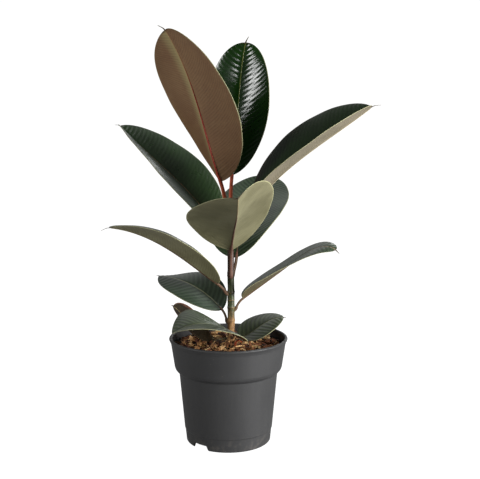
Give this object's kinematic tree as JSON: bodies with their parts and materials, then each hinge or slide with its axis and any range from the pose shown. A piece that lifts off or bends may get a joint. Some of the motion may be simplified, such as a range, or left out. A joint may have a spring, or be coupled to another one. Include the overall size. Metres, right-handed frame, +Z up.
{
  "type": "potted plant",
  "caption": "Young rubber plant with broad glossy leaves spiralling up one upright stem, in a dark tapered nursery pot of bark potting mix.",
  "frame": {"origin": "middle of the pot's underside, on the surface the pot stands on", "axes": "+Z up along the pot's axis, +X to the right seen from the front, -Y towards the front, where the lowest long leaf reaches out"},
  "size_m": [0.3804, 0.4553, 0.583],
  "materials": {
    "pot": "matt moulded polypropylene, dark grey",
    "potting_mix": "rough, loose bark and fibre",
    "stem": "smooth bark, green above and tan below, with ring scars",
    "bud": "smooth satin sheath, reddish",
    "leaf": "glossy above and dull below",
    "bark": "rough split bark"
  },
  "bodies": {
    "root": {"pot": "pot", "potting_mix": "potting_mix", "stem": "stem", "terminal_bud": "bud", "leaf_crown_left": "leaf", "leaf_crown_back": "leaf", "leaf_upper_left": "leaf", "leaf_upper_right": "leaf", "leaf_front": "leaf", "leaf_rear": "leaf", "leaf_middle_left": "leaf", "leaf_middle_right": "leaf", "leaf_lower_left": "leaf", "leaf_rim_left": "leaf", "leaf_rim_right": "leaf", "leaf_soil_left": "leaf", "bark_chip_01": "bark", "bark_chip_02": "bark", "bark_chip_03": "bark", "bark_chip_04": "bark", "bark_chip_05": "bark", "bark_chip_06": "bark", "bark_chip_07": "bark", "bark_chip_08": "bark", "bark_chip_09": "bark", "bark_chip_10": "bark", "bark_chip_11": "bark", "bark_chip_12": "bark", "bark_chip_13": "bark", "bark_chip_14": "bark", "bark_chip_15": "bark", "bark_chip_16": "bark", "bark_chip_17": "bark", "bark_chip_18": "bark", "bark_chip_19": "bark", "bark_chip_20": "bark", "bark_chip_21": "bark", "bark_chip_22": "bark"}
  },
  "joints": []
}
